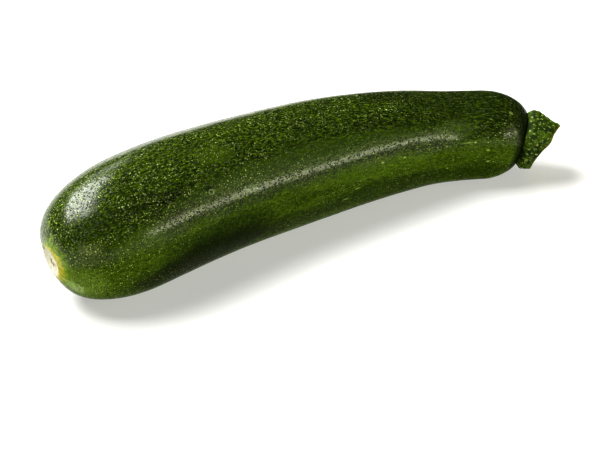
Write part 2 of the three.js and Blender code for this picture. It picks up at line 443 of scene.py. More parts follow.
        # The pits and the cork are dull, and the pits cut into the fine relief.
        size, depth = self.relief_mm
        fine = add(tree, NOISE, {}, (at.grain, 1 / size, 3.0, 0.6))
        fine = add(tree, MATH, "MULTIPLY", (fine, self.relief_share))
        height = add(tree, MATH, "MULTIPLY_ADD", (pits, -1.0, fine))
        bump = add(tree, BUMP, {}, {"Strength": 1.0, "Distance": depth * MM, "Height": height})
        dull = add(tree, MAP_RANGE, {}, (pits, 0.0, 1.0, self.roughness, self.pit_roughness))
        dull = add(tree, MATH, CLAMPED, (cork, 0.5, dull))
        gloss = add(tree, MAP_RANGE, {}, (sunny, 0.0, 1.0, self.ground_specular, self.specular))
        lost = add(tree, MATH, "MULTIPLY_ADD", (pits, -0.35, 1.0))
        gloss = add(tree, MATH, "MULTIPLY", (gloss, lost))
        shine = {"Roughness": dull, "IOR": self.ior, "Specular IOR Level": gloss}
        return {"Base Color": colour, "Normal": bump, **shine}

    def places(self, tree: Tree) -> SkinPlaces:
        """Reads the skin's attributes and unrolls it flat."""
        read = {}
        for name in ("skin", "grain"):
            place = add(tree, ATTRIBUTE, {"attribute_name": name}).node.outputs["Vector"]
            read[name] = add(tree, VECTOR_MATH, "SCALE", (place, 1 / MM))
        parts = add(tree, "ShaderNodeSeparateXYZ", {}, (read["skin"],)).node.outputs
        near = add(tree, MATH, "MULTIPLY", (parts["Y"], -1.0))
        turn = add(tree, MATH, "ARCTAN2", (near, parts["Z"]))
        around = add(tree, MATH, "MULTIPLY", (turn, self.girth_mm))
        flat = add(tree, "ShaderNodeCombineXYZ", {}, (parts["X"], around))
        return SkinPlaces(read["skin"], read["grain"], flat, parts["X"], around)

    def sunny_side(self, tree: Tree, at: SkinPlaces) -> Socket:
        """Tells the side that faced the sun from the side towards the ground.

        Args:
            tree: the material's nodes.
            at: the places on the skin.

        Returns:
            1 on the sunny side and 0 on the other, with a ragged line between.
        """
        size, reach = self.sun_wander_mm
        around = add(tree, MATH, "ABSOLUTE", (at.around,))
        wander = add(tree, NOISE, {}, (at.flat, 1 / size, 3.0))
        around = add(tree, MATH, "MULTIPLY_ADD", (wander, reach, around))
        edges = (math.radians(turn) * self.girth_mm + reach / 2 for turn in self.sun_turn)
        return add(tree, MAP_RANGE, SMOOTH, (around, *edges))

    def ground(self, tree: Tree, at: SkinPlaces, sunny: Socket) -> Socket:
        """Adds the green under the specks.

        Args:
            tree: the material's nodes.
            at: the places on the skin.
            sunny: how much of the sunny side there is.

        Returns:
            The colour.
        """
        # Long clouds, four times as long as wide.
        long = add(tree, VECTOR_MATH, "MULTIPLY", (at.flat, (0.25, 1.0, 1.0)))
        clouds = add(tree, NOISE, {}, (long, 1 / self.cloud_mm, 3.0, 0.5))
        clouds = add(tree, MAP_RANGE, {}, (clouds, 0.34, 0.66))
        greens = [(linear(deep), linear(green)) for deep, green in (self.ground_greens, self.sun_greens)]
        colour = add(tree, MIX, COLOURS, (sunny, *(add(tree, MIX, COLOURS, (clouds, *g)) for g in greens)))
        fibres = add(tree, VECTOR_MATH, "MULTIPLY", (at.grain, (0.45, 1.0, 1.0)))
        streaks = add(tree, NOISE, {}, (fibres, 1 / self.fibre_mm, 3.0, 0.7))
        streaks = add(tree, MAP_RANGE, {}, (streaks, 0.48, 0.68, 0.0, self.grain_share))
        # The neck is darker on its upper side.
        neck = add(tree, MAP_RANGE, SMOOTH, (at.along, *self.neck_along_mm, 0.0, self.neck_share))
        upper = add(tree, MATH, "ABSOLUTE", (at.around,))
        upper = add(tree, MAP_RANGE, SMOOTH, (upper, *self.neck_around_mm))
        neck = add(tree, MATH, "MULTIPLY", (neck, upper))
        return layered(tree, colour, (streaks, self.grain_light), (neck, self.neck_deep_and_crease_shade))

    def specks(self, tree: Tree, at: SkinPlaces, sunny: Socket) -> tuple[Socket, Socket]:
        """Adds the lenticels, each of its own size and ragged.

        Args:
            tree: the material's nodes.
            at: the places on the skin.
            sunny: how much of the sunny side there is.

        Returns:
            How much of a lenticel there is at each place, and of the dull pit round it.
        """
        ragged = jostled(tree, at.grain, self.speck_ragged_mm, 0.6, at.grain)
        (large, inside), (small, _) = (
            cell_specks(tree, ragged, *layer, (-0.05, 0.1), 0.35) for layer in self.speck_layers_mm
        )
        light = add(tree, MATH, "MAXIMUM", (large, small))
        # Only the large ones have a pit.
        pits = add(tree, MAP_RANGE, SMOOTH, (inside, -self.pit_moat - 0.1, -self.pit_moat + 0.05))
        # They crowd in long patches and at the blossom end, and are few on the bare places.
        long = add(tree, VECTOR_MATH, "MULTIPLY", (at.flat, (0.35, 1.0, 1.0)))
        thick = add(tree, NOISE, {}, (long, 1 / self.crowd_mm, 3.0))
        thick = add(tree, MAP_RANGE, {}, (thick, 0.36, 0.6))
        end = add(tree, MAP_RANGE, {}, (at.along, *self.blossom_along_mm))
        thick = add(tree, MATH, "MULTIPLY_ADD", (end, 0.45, thick))
        share = add(tree, MAP_RANGE, {}, (thick, 0.0, 1.0, 0.35, 1.0))
        side = add(tree, MATH, "MAXIMUM", (sunny, end))
        side = add(tree, MAP_RANGE, {}, (side, 0.0, 1.0, 0.7, 1.0))
        for mark in self.bare:
            side = add(tree, MATH, CLAMPED, (self.patch(tree, at, mark), -1.0, side))
        share = add(tree, MATH, "MULTIPLY", (share, side))
        return add(tree, MATH, "MULTIPLY", (light, share)), pits

    def patch(self, tree: Tree, at: SkinPlaces, mark: SkinMark) -> Socket:
        """Finds where one mark lies.

        Args:
            tree: the material's nodes.
            at: the places on the skin.
            mark: the mark.

        Returns:
            How much of the mark there is at each place.
        """
        middle = (mark.along_mm, math.radians(mark.turn) * self.girth_mm, 0.0)
        away = add(tree, VECTOR_MATH, "SUBTRACT", (at.flat, middle))
        away = add(tree, VECTOR_MATH, "MULTIPLY", (away, (1 / mark.length_mm, 1 / mark.width_mm, 0.0)))
        # Noise of 0 to 1, less its middle, frays the edge.
        frayed = add(tree, NOISE, {}, (at.flat, 0.8 / mark.width_mm, 2.0)).node.outputs["Color"]
        away = add(tree, VECTOR_MATH, "MULTIPLY_ADD", (frayed, (0.6, 0.6, 0.0), away))
        away = add(tree, VECTOR_MATH, "SUBTRACT", (away, (0.3, 0.3, 0.0)))
        away = add(tree, VECTOR_MATH, "LENGTH", (away,)).node.outputs["Value"]
        edges = (1.2, 0.5)
        if mark.ring:
            away = add(tree, MATH, "SUBTRACT", (away, 0.9))
            away = add(tree, MATH, "ABSOLUTE", (away,))
            edges = (0.35, 0.1)
        return add(tree, MAP_RANGE, SMOOTH, (away, *edges, 0.0, mark.strength))

    def marked(self, tree: Tree, at: SkinPlaces, colour: Socket, marks: tuple[SkinMark, ...]) -> Socket:
        """Returns the colour with marks added one over another."""
        return layered(tree, colour, *((self.patch(tree, at, mark), mark.colour) for mark in marks))

    def from_axis(self, tree: Tree, at: SkinPlaces, middle: tuple[float, float]) -> Socket:
        """Returns the distance from a line along the fruit, set to the outer side and upwards."""
        line = (0.0, -middle[0], -middle[1])
        across = add(tree, VECTOR_MATH, "MULTIPLY_ADD", (at.skin, (0.0, 1.0, 1.0), line))
        return add(tree, VECTOR_MATH, "LENGTH", (across,)).node.outputs["Value"]

    def crease_shade(self, tree: Tree, at: SkinPlaces, colour: Socket) -> Socket:
        """Returns the colour with painted shade in the crease where the stalk sits on the fruit."""
        near = self.from_axis(tree, at, (0.0, 0.0))
        near = add(tree, MAP_RANGE, SMOOTH, (near, *self.crease_shade_radius_mm, 0.0, self.crease_shade_share))
        end = add(tree, MATH, "GREATER_THAN", (at.along, self.end_mm))
        near = add(tree, MATH, "MULTIPLY", (near, end))
        return layered(tree, colour, (near, self.neck_deep_and_crease_shade))

    def blossom_scar(self, tree: Tree, at: SkinPlaces, colour: Socket) -> tuple[Socket, Socket]:
        """Adds the corky scar that the flower left, and the yellow border that rays out from it.

        Args:
            tree: the material's nodes.
            at: the places on the skin.
            colour: the skin's colour.

        Returns:
            The colour with the scar, and how much of the cork there is.
        """
        # Noise on the direction from the axis alone makes rays.
        outward = add(tree, VECTOR_MATH, "MULTIPLY", (at.skin, (0.0, 1.0, 1.0)))
        outward = add(tree, VECTOR_MATH, "NORMALIZE", (outward,))
        rays = add(tree, NOISE, {}, (outward, 4.0, 3.0))
        rays = add(tree, MATH, "SUBTRACT", (rays, 0.5))
        ragged = add(tree, NOISE, {}, (at.skin, 1 / self.scar_ragged_mm, 3.0))
        ragged = add(tree, MATH, "SUBTRACT", (ragged, 0.5))
        mottle = add(tree, NOISE, {}, (at.skin, 1 / self.scar_mottle_mm, 4.0))
        mottle = add(tree, MAP_RANGE, {}, (mottle, 0.35, 0.65))
        end = add(tree, MATH, "LESS_THAN", (at.along, -self.end_mm))
        shown = []
        for band in self.scar_bands:
            across = self.from_axis(tree, at, band.middle)
            across = add(tree, MATH, "MULTIPLY_ADD", (rays, -band.rayed, across))
            across = add(tree, MATH, "MULTIPLY_ADD", (ragged, 2 * band.uneven, across))
            there = add(tree, MAP_RANGE, SMOOTH, (across, band.outer, band.inner, 0.0, band.strength))
            shown.append(add(tree, MATH, "MULTIPLY", (there, end)))
            own = add(tree, MIX, COLOURS, (mottle, *(linear(tint) for tint in band.colours)))
            colour = add(tree, MIX, COLOURS, (shown[-1], colour, own))
        return colour, shown[self.cork_band]


@dataclass(frozen=True)
class StalkSkin(Finish):
    """Courgette stalk: matt fleshy skin, mottled yellow-green on dark, browned along the cut."""

    name: str = "ridged_stalk_skin"
    deep: str = "#142102"
    # Valley and ridge greens; the lighter ridges are partly the stalk's own colour and partly painted
    # highlight.
    valley: str = "#223402"
    ridge: str = "#50660c"
    fleck: str = "#7c8d46"
    brown: str = "#5c5a18"
    cut: str = "#9c9558"
    cut_ring: str = "#5f6a2a"
    cut_pith: str = "#c9c08c"
    blotch_mm: float = 3.0
    mottle_mm: float = 0.6  # drawn about twice as coarse as the real one
    dried_mm: float = 0.9
    fleck_spacing_mm: float = 1.05
    fleck_size: float = 0.42  # the largest, as a share of the spacing
    brown_share: float = 0.7
    relief_mm: float = 0.4
    roughness: float = 0.6
    specular: float = 0.25
    ior: float = 1.42

    def surface(self, tree: Tree) -> dict[str, Any]:
        """Adds the colour and relief, which read the stalk's own attributes.

        Args:
            tree: the material's nodes.

        Returns:
            What the shader's inputs take, by name.
        """
        # Places on the stalk in millimetres, the first of them along it.
        place = add(tree, ATTRIBUTE, {"attribute_name": "stalk"}).node.outputs["Vector"]
        place = add(tree, VECTOR_MATH, "SCALE", (place, 1 / MM))
        long = add(tree, VECTOR_MATH, "MULTIPLY", (place, (0.5, 1.0, 1.0)))
        ridge, edge, cut, core = (
            add(tree, ATTRIBUTE, {"attribute_name": name}).node.outputs["Fac"]
            for name in ("ridge", "edge", "cut", "core")
        )
        blotch = add(tree, NOISE, {}, (place, 1 / self.blotch_mm, 2.0))
        # Lighter on the ridges: partly the stalk's own mottling, partly painted highlight.
        light = add(tree, MATH, "MULTIPLY_ADD", (blotch, 5.0, -2.25))
        light = add(tree, MATH, CLAMPED, (ridge, 0.25, light))
        colour = add(tree, MIX, COLOURS, (light, linear(self.valley), linear(self.ridge)))
        mottle = add(tree, NOISE, {}, (long, 1 / self.mottle_mm, 3.0, 0.7))
        dark = add(tree, MAP_RANGE, {}, (mottle, 0.52, 0.4, 0.0, 0.8))
        # Pale flecks between the prickles.
        ragged = jostled(tree, place, self.mottle_mm, 0.7, long)
        flecks, _ = cell_specks(
            tree, ragged, self.fleck_spacing_mm, self.fleck_size, (-0.06, 0.12), 0.2
        )
        browned = add(tree, MATH, "MULTIPLY", (edge, self.brown_share))
        colour = layered(tree, colour, (dark, self.deep), (flecks, self.fleck), (browned, self.brown))
        dried = add(tree, MIX, COLOURS, (core, linear(self.cut_ring), linear(self.cut_pith)))
        uneven = add(tree, NOISE, {}, (place, 1 / self.dried_mm, 4.0))
        dried = add(tree, MIX, COLOURS, (uneven, dried, linear(self.cut)))
        colour = add(tree, MIX, COLOURS, (cut, colour, dried))
        relief = {"Strength": 1.0, "Distance": self.relief_mm * MM, "Height": mottle}
        bump = add(tree, BUMP, {}, relief)
        shine = {"Roughness": self.roughness, "IOR": self.ior, "Specular IOR Level": self.specular}
        return {"Base Color": colour, "Normal": bump, **shine}


@dataclass(frozen=True)
class PrickleSkin(Finish):
    """Bases of the stalk's prickles: pale fleshy domes, a little glossier than the stalk."""

    name: str = "pale_prickle_bases"
    pale: str = "#96a658"
    green: str = "#304a08"
    patch_mm: float = 1.1
    roughness: float = 0.45
    specular: float = 0.3

    def surface(self, tree: Tree) -> dict[str, Any]:
        """Returns what the shader's inputs take, by name, for domes in patches of two greens."""
        place = add(tree, "ShaderNodeTexCoord").node.outputs["Object"]
        patches = add(tree, NOISE, {}, (place, 1 / (self.patch_mm * MM), 2.0))
        patches = add(tree, MAP_RANGE, {}, (patches, 0.38, 0.62))
        colour = add(tree, MIX, COLOURS, (patches, linear(self.green), linear(self.pale)))
        return {"Base Color": colour, "Roughness": self.roughness, "Specular IOR Level": self.specular}


@dataclass(frozen=True)
class SheetSkin(Finish):
    """Opal white acrylic with a painted glow of its own, which keeps the shadow on it pale."""

    name: str = "opal_acrylic_table"
    white: str = "#aaaaa8"
    roughness: float = 0.9
    specular: float = 0.1
    painted_glow: float = 0.32

    def surface(self, tree: Tree) -> dict[str, Any]:
        """Returns what the shader's inputs take, by name."""
        # Painted light: the sheet glows of itself, with no lamp under it.
        light = {"Emission Color": WHITE, "Emission Strength": self.painted_glow}
        shine = {"Roughness": self.roughness, "Specular IOR Level": self.specular}
        return {"Base Color": linear(self.white), **shine, **light}


# The fruit


@dataclass
class FruitAxis:
    """The fruit's axis and girth, in millimetres.

    A station is a place along the fruit: -1 is its blossom end and 1 its stalk end.
    """

    half_length: float = 103.5
    girth: tuple[tuple[float, float], ...] = (
        (-1, 23.8),
        (-0.6, 25),
        (-0.2, 24.2),
        (0.2, 22.8),
        (0.5, 20.5),
        (0.75, 18.3),
        (1, 17.7),
    )
    bow: float = 12
    neck_hook: float = -13.5
    neck_hook_start: float = 0.6
    tip_swing: float = 5.3
    tip_swing_start: float = 0.6
    tip_swing_power: float = 2.5
    tip_sag: float = 3.9
    tip_sag_start: float = 0.55
    neck_nod: float = 2
    neck_nod_start: float = 0.87
    keel_lift: float = 0.35
    keel_pitch: float = 0.68
    keel_phase: float = 0.05
    flat_depth: float = 0.5
    step: float = 0.001
    middle: tuple[float, float] = (6.6, 4.0367)  # of the whole courgette's box, from the axis's own zero

    @staticmethod
    def onset(station: float, start: float) -> float:
        """Returns 0 up to a start, and from there a rise to 1 at the fruit's end."""
        return max(0.0, station - start) / (1 - start)

    def slope(self, index: int) -> float:
        """Finds the girth's slope at one of its stations.

        Args:
            index: which of the stations.

        Returns:
            The slope of a smooth curve through them all.
        """
        runs = []
        for left in (max(0, index - 1), min(len(self.girth) - 2, index)):
            (start, low), (stop, high) = self.girth[left : left + 2]
            runs.append((stop - start, (high - low) / (stop - start)))
        (before, first), (after, second) = runs
        return (first * after + second * before) / (before + after)

    def radius(self, station: float) -> float:
        """Finds the plain radius before the ends are rounded.

        Args:
            station: the place along the fruit.

        Returns:
            The radius, in millimetres.
        """
        lefts = [i for i, (start, _) in enumerate(self.girth[:-1]) if start <= station]
        left = lefts[-1] if lefts else 0
        (start, low), (stop, high) = self.girth[left : left + 2]
        t = (station - start) / (stop - start)
        rise = high - low
        start_bend = self.slope(left) * (stop - start) - rise
        stop_bend = self.slope(left + 1) * (stop - start) - rise
        return low + rise * t + t * (1 - t) * ((1 - t) * start_bend - t * stop_bend)

    def point(self, station: float) -> Vector:
        """Returns the axis's point at a station, in the courgette's own frame, in millimetres."""
        hook = self.onset(station, self.neck_hook_start) ** 2
        swing = self.onset(-station, self.tip_swing_start) ** self.tip_swing_power
        sag = self.onset(-station, self.tip_sag_start) ** 2
        nod = self.onset(station, self.neck_nod_start) ** 2
        keel = (1 - math.cos(2 * math.pi * (station - self.keel_phase) / self.keel_pitch)) / 2
        sideways = self.bow * (1 - station**2) + self.neck_hook * hook + self.tip_swing * swing
        lift = self.radius(station) - self.flat_depth + self.keel_lift * keel
        lift -= self.tip_sag * sag + self.neck_nod * nod
        return Vector((self.half_length * station - self.middle[0], sideways - self.middle[1], lift))

    def directions(self, station: float) -> tuple[Vector, Vector]:
        """Returns the directions along the axis and up across it at a station."""
        along = (self.point(station + self.step) - self.point(station - self.step)).normalized()
        upward = (Vector((0, 0, 1)) - along * along.z).normalized()
        return along, upward


class SkinRing(NamedTuple):
    """One ring of the fruit's skin: its place, radius, share of the ribs, and rise along the axis."""

    station: float
    girth: float
    ribbed: float = 1.0
    rise: float = 0.0


@dataclass
class Fruit:
    """The grown fruit: its ribbed skin, closed at the blossom scar and under the stalk."""

    axis: FruitAxis = field(default_factory=FruitAxis)
    finish: CourgetteSkin = field(default_factory=CourgetteSkin)
    cap: float = 0.38
    fullness: float = 2.5
    squareness: float = 3
    shoulder: float = 0.12
    shoulder_squareness: float = 3
    shoulder_end: float = 0.62
    end_dome: float = 1.0
    scar_radius: float = 4.6
    scar_dish: float = 0.9
    scar_rim: float = 0.35
    scar_rim_radius: float = 5.9
    scar_rim_width: float = 1.56
    scar_nipple: float = 0.5
    scar_nipple_width: float = 1.14
    scar_reach: float = -0.9
    ribs: float = 5.0
    rib_phase: float = 8
    rib_depth: float = 0.02
    rib_sharpness: float = 0.25
    rib_drift: float = 14  # degrees that the ribs wander round the fruit, at most
    rib_drift_middle: float = -0.3
    rib_drift_reach: float = 0.75
    swell: tuple[float, float] = (26, 0.5)  # size and height of the broad swellings
    peel: tuple[float, float] = (3.2, 0.12)  # size and height of the fine unevenness
    neck_stretch: float = 1.6  # how much longer than wide the grain is drawn at the neck
    rings: tuple[int, int, int, int] = (64, 220, 36, 12)
    sectors: int = 256
    seam: float = 2e-6  # metres within which points are merged
    seed: int = 7

    def scar_rise(self, distance: float) -> float:
        """Returns how far the skin stands out at a distance from the blossom scar's middle."""
        dish = -self.scar_dish * math.exp(-((distance / self.scar_radius) ** 4))
        rim = self.scar_rim * math.exp(-(((distance - self.scar_rim_radius) / self.scar_rim_width) ** 2))
        nipple = self.scar_nipple * math.exp(-((distance / self.scar_nipple_width) ** 2))
        return dish + rim + nipple

    def drift(self, station: float) -> float:
        """Returns how far the ribs have wandered round the fruit at a station, in degrees."""
        return self.rib_drift * math.exp(-(((station - self.rib_drift_middle) / self.rib_drift_reach) ** 2))

    def skin_rings(self) -> list[SkinRing]:
        """Lists the skin's rings, in millimetres, from the blossom scar to under the stalk."""
        rows: list[SkinRing] = []
        blossom, body, shoulder, dome = self.rings
        for ring in range(blossom):
            share = math.sin(ring / blossom * math.pi / 2)
            cap = (1 - share**self.squareness) ** (1 / self.fullness)
            station = -(1 - self.cap) - self.cap * cap
            girth = self.axis.radius(station) * share
            rise = -self.scar_rise(girth) if station < self.scar_reach else 0.0
            rows.append(SkinRing(station, girth, 1 - cap**2, rise))
        for ring in range(body + 1):
            station = -(1 - self.cap) + (2 - self.cap - self.shoulder) * ring / body
            rows.append(SkinRing(station, self.axis.radius(station)))
        for ring in range(1, shoulder + 1):
            reach = math.sin(ring / shoulder * math.pi / 2)
            station = 1 - self.shoulder * (1 - reach)
            drop = (1 - self.shoulder_end**self.shoulder_squareness) * reach**2
            share = (1 - drop) ** (1 / self.shoulder_squareness)
            rows.append(SkinRing(station, self.axis.radius(station) * share))
        end = self.axis.radius(1) * self.shoulder_end
        for ring in range(1, dome + 1):
            share = 1 - ring / dome
            rows.append(SkinRing(1.0, end * share, 0.0, self.end_dome * (1 - share**2)))
        return rows

    def spine(self) -> Thing:
        """Makes the row of points that the skin is lofted over, one for each ring.

        Returns:
            An object whose points carry each ring's size and directions.
        """
        rows = self.skin_rings()
        half = self.axis.half_length
        runs = [-half]
        for before, row in zip(rows, rows[1:]):
            stretch = 1 + (self.neck_stretch - 1) * (row.station + 1) / 2
            runs.append(runs[-1] + (row.station - before.station) * half / stretch)
        spine = mesh_object("fruit_skin", np.array([self.axis.point(row.station) for row in rows]) * MM)
        directions = np.array([self.axis.directions(row.station) for row in rows])
        store(spine, "along", directions[:, 0])
        store(spine, "upward", directions[:, 1])
        store(spine, "girth", [row.girth * MM for row in rows])
        store(spine, "ribbed", [row.ribbed for row in rows])
        store(spine, "rise", [row.rise * MM for row in rows])
        store(spine, "station", [row.station * half * MM for row in rows])
        store(spine, "run", [run * MM for run in runs])
        store(spine, "drift", [math.radians(self.drift(row.station)) for row in rows])
        return spine

    def loft_tree(self) -> Tree:
        """Builds the Geometry Nodes tree that lofts the skin over its spine.

        Returns:
            The tree, with a named input for each size.
        """
        ribs = ("Ribs", "Rib Phase", "Rib Depth", "Rib Sharpness")
        noises = (("Swell Size", "Swell Height"), ("Peel Size", "Peel Height"))
        tree, given = geometry_tree(
            "ribbed skin over a spine",
            {
                "Geometry": ("Spine",),
                "Int": ("Sectors", "Seed"),
                "Float": (*ribs, *noises[0], *noises[1]),
                "Material": ("Skin",),
            },
        )
        # A grid with a row of points for each ring, its first and last column on the same angle.
        rings = add(tree, "GeometryNodeAttributeDomainSize", {"component": "MESH"}, (given["Spine"],))
        columns = add(tree, "FunctionNodeIntegerMath", "ADD", (given["Sectors"], 1))
        skin = add(tree, "GeometryNodeMeshGrid", {}, (1.0, 1.0, rings, columns))
        index = add(tree, "GeometryNodeInputIndex")
        ring = add(tree, "FunctionNodeIntegerMath", "DIVIDE_FLOOR", (index, columns))
        sector = add(tree, "FunctionNodeIntegerMath", "MODULO", (index, columns))
        turn = add(tree, MATH, "DIVIDE", (sector, given["Sectors"]))
        angle = add(tree, MATH, "MULTIPLY", (turn, 2 * math.pi))
        sine = add(tree, MATH, "SINE", (angle,))
        cosine = add(tree, MATH, "COSINE", (angle,))

        # Each ring's own sizes and directions, read from the spine.
        place = add(tree, "GeometryNodeInputPosition")
        own: dict[str, Socket] = {"origin": place}
        for name in ("along", "upward", "girth", "ribbed", "rise", "station", "run", "drift"):
            kind = {"data_type": "FLOAT_VECTOR" if name in ("along", "upward") else "FLOAT"}
            own[name] = add(tree, NAMED_ATTRIBUTE, kind, (name,))
        for name, value in own.items():
            kind = {"data_type": "FLOAT_VECTOR" if name in ("origin", "along", "upward") else "FLOAT"}
            own[name] = add(tree, "GeometryNodeSampleIndex", kind, (given["Spine"], value, ring))

        # The ribs swell the radius in a wave round the ring.
        wave = add(tree, MATH, "SUBTRACT", (angle, given["Rib Phase"]))
        wave = add(tree, MATH, "SUBTRACT", (wave, own["drift"]))
        wave = add(tree, MATH, "MULTIPLY", (wave, given["Ribs"]))
        twice = add(tree, MATH, "MULTIPLY", (wave, 2.0))
        broad = add(tree, MATH, "COSINE", (wave,))
        narrow = add(tree, MATH, "COSINE", (twice,))
        crest = add(tree, MATH, "MULTIPLY_ADD", (narrow, given["Rib Sharpness"], broad))
        crest = add(tree, MATH, "MULTIPLY", (crest, own["ribbed"]))
        radius = add(tree, MATH, "MULTIPLY_ADD", (crest, given["Rib Depth"], 1.0))
        radius = add(tree, MATH, "MULTIPLY", (radius, own["girth"]))
        sideways = add(tree, MATH, "MULTIPLY", (radius, cosine))
        upwards = add(tree, MATH, "MULTIPLY", (radius, sine))
        side = add(tree, VECTOR_MATH, "CROSS_PRODUCT", (own["upward"], own["along"]))
        point = own["origin"]
        for direction, length in ((side, sideways), (own["upward"], upwards), (own["along"], own["rise"])):
            step = add(tree, VECTOR_MATH, "SCALE", (direction, length))
            point = add(tree, VECTOR_MATH, "ADD", (point, step))
        skin = add(tree, SET_POSITION, {}, {"Geometry": skin, "Position": point})

        # Where each point is on the straightened skin, for the finish.
        round_cosine = add(tree, MATH, "MULTIPLY", (own["girth"], cosine))
        round_sine = add(tree, MATH, "MULTIPLY", (own["girth"], sine))
        vectors = {"data_type": "FLOAT_VECTOR", "domain": "POINT"}
        for name, lengthwise in (("skin", "station"), ("grain", "run")):
            value = add(tree, "ShaderNodeCombineXYZ", {}, (own[lengthwise], round_cosine, round_sine))
            kept = {"Geometry": skin, "Name": name, "Value": value}
            skin = add(tree, "GeometryNodeStoreNamedAttribute", vectors, kept)
        skin = add(tree, "GeometryNodeMergeByDistance", {}, {"Geometry": skin, "Distance": self.seam})

        # Broad swellings and fine unevenness, out along the surface.
        normal = add(tree, "GeometryNodeInputNormal")
        for wide, high in noises:
            scale = add(tree, MATH, "DIVIDE", (1.0, given[wide]))
            noise = add(tree, NOISE, {"noise_dimensions": "4D"}, (place, given["Seed"], scale, 1.0))
            noise = add(tree, MATH, "SUBTRACT", (noise, 0.5))
            lift = add(tree, MATH, "MULTIPLY", (noise, given[high]))
            lift = add(tree, VECTOR_MATH, "SCALE", (normal, lift))
            skin = add(tree, SET_POSITION, {}, {"Geometry": skin, "Offset": lift})

        # Nothing reaches under the surface it rests on.
        above = add(tree, VECTOR_MATH, "MAXIMUM", (place, (-10.0, -10.0, 0.0)))
        skin = add(tree, SET_POSITION, {}, {"Geometry": skin, "Position": above})
        skin = add(tree, "GeometryNodeFlipFaces", {}, (skin,))
        skin = add(tree, "GeometryNodeSetShadeSmooth", {}, {"Geometry": skin, "Shade Smooth": True})
        skin = add(tree, "GeometryNodeRealizeInstances", {}, {"Geometry": skin})
        skin = add(tree, "GeometryNodeSetMaterial", {}, {"Geometry": skin, "Material": given["Skin"]})
        add(tree, "NodeGroupOutput", {}, {"Geometry": skin})
        return tree

    def build(self) -> Thing:
        """Builds the fruit's skin.

        Returns:
            The finished piece.
        """
        skin = self.spine()
        sizes = {
            "Sectors": self.sectors,
            "Seed": self.seed,
            "Ribs": self.ribs,
            "Rib Phase": math.radians(self.rib_phase),
            "Rib Depth": self.rib_depth,
            "Rib Sharpness": self.rib_sharpness,
            "Swell Size": self.swell[0] * MM,
            "Swell Height": self.swell[1] * MM,
            "Peel Size": self.peel[0] * MM,
            "Peel Height": self.peel[1] * MM,
            "Skin": self.finish.material(),
        }
        baked(skin, self.loft_tree(), sizes)
        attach(skin, BODY)
        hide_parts(Node.FRUIT.value)
        return skin


# The stalk


class StalkRing(NamedTuple):
    """One ring of the stalk: its radius and height all round, and how much of each place it is."""

    radius: np.ndarray
    height: np.ndarray
    edge: float = 0.0
    cut: float = 0.0
    core: float = 0.0
    wall: float = 0.0


